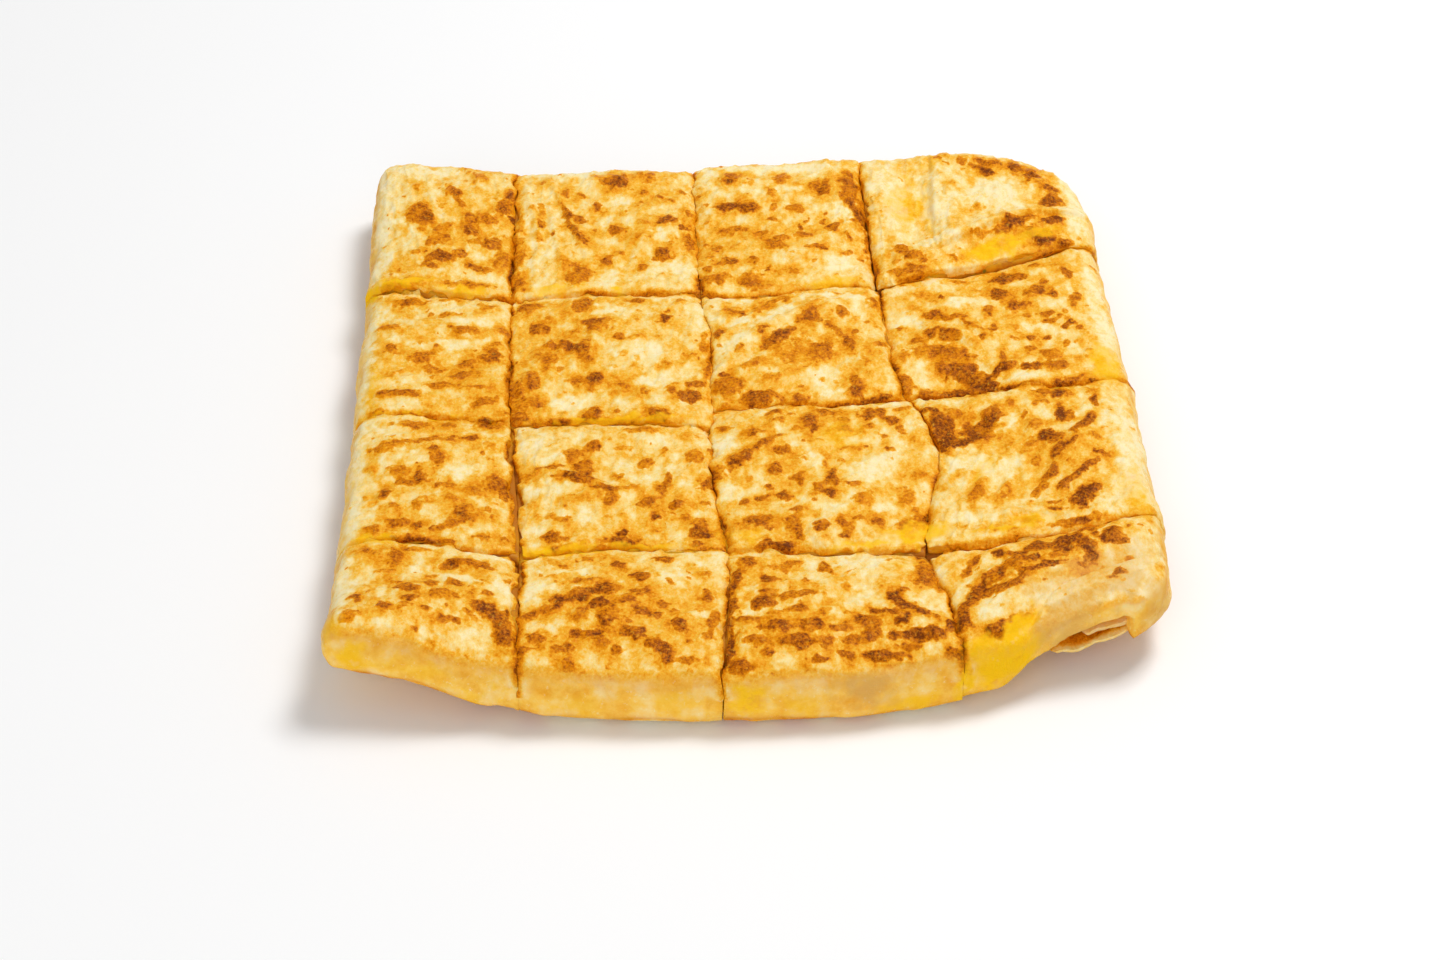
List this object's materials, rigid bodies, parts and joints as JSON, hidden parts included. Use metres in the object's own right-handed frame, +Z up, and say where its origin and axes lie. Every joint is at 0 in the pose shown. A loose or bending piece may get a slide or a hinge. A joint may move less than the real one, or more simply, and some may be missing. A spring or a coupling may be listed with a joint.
{
  "type": "murtabak",
  "caption": "Square stuffed flatbread of folded pan-browned dough round an egg filling, cut into squares that still lie together.",
  "frame": {"origin": "on the resting plane, under the middle of the whole outline", "axes": "+Z up out of the browned top; +Y to the back edge, along the longer side; +X to the right, towards the side with the rounded back corner"},
  "size_m": [0.2098, 0.2278, 0.0233],
  "materials": {
    "crust": "thin pan-fried dough, satin with a little oil, pale cream with golden to dark brown griddle marks",
    "filling": "set beaten egg, moist satin, bright yellow with pale bits and green flecks"
  },
  "bodies": {
    "root": {"crust_r1c1": "crust", "filling_r1c1": "filling", "crust_r1c2": "crust", "filling_r1c2": "filling", "crust_r1c3": "crust", "filling_r1c3": "filling", "crust_r1c4": "crust", "filling_r1c4": "filling", "crust_r2c1": "crust", "filling_r2c1": "filling", "crust_top_r2c2": "crust", "crust_bottom_r2c2": "crust", "filling_r2c2": "filling", "crust_top_r2c3": "crust", "crust_bottom_r2c3": "crust", "filling_r2c3": "filling", "crust_r2c4": "crust", "filling_r2c4": "filling", "crust_r3c1": "crust", "filling_r3c1": "filling", "crust_top_r3c2": "crust", "crust_bottom_r3c2": "crust", "filling_r3c2": "filling", "crust_top_r3c3": "crust", "crust_bottom_r3c3": "crust", "filling_r3c3": "filling", "crust_r3c4": "crust", "filling_r3c4": "filling", "crust_r4c1": "crust", "filling_r4c1": "filling", "crust_r4c2": "crust", "filling_r4c2": "filling", "crust_r4c3": "crust", "filling_r4c3": "filling", "crust_r4c4": "crust", "filling_r4c4": "filling"}
  },
  "joints": []
}
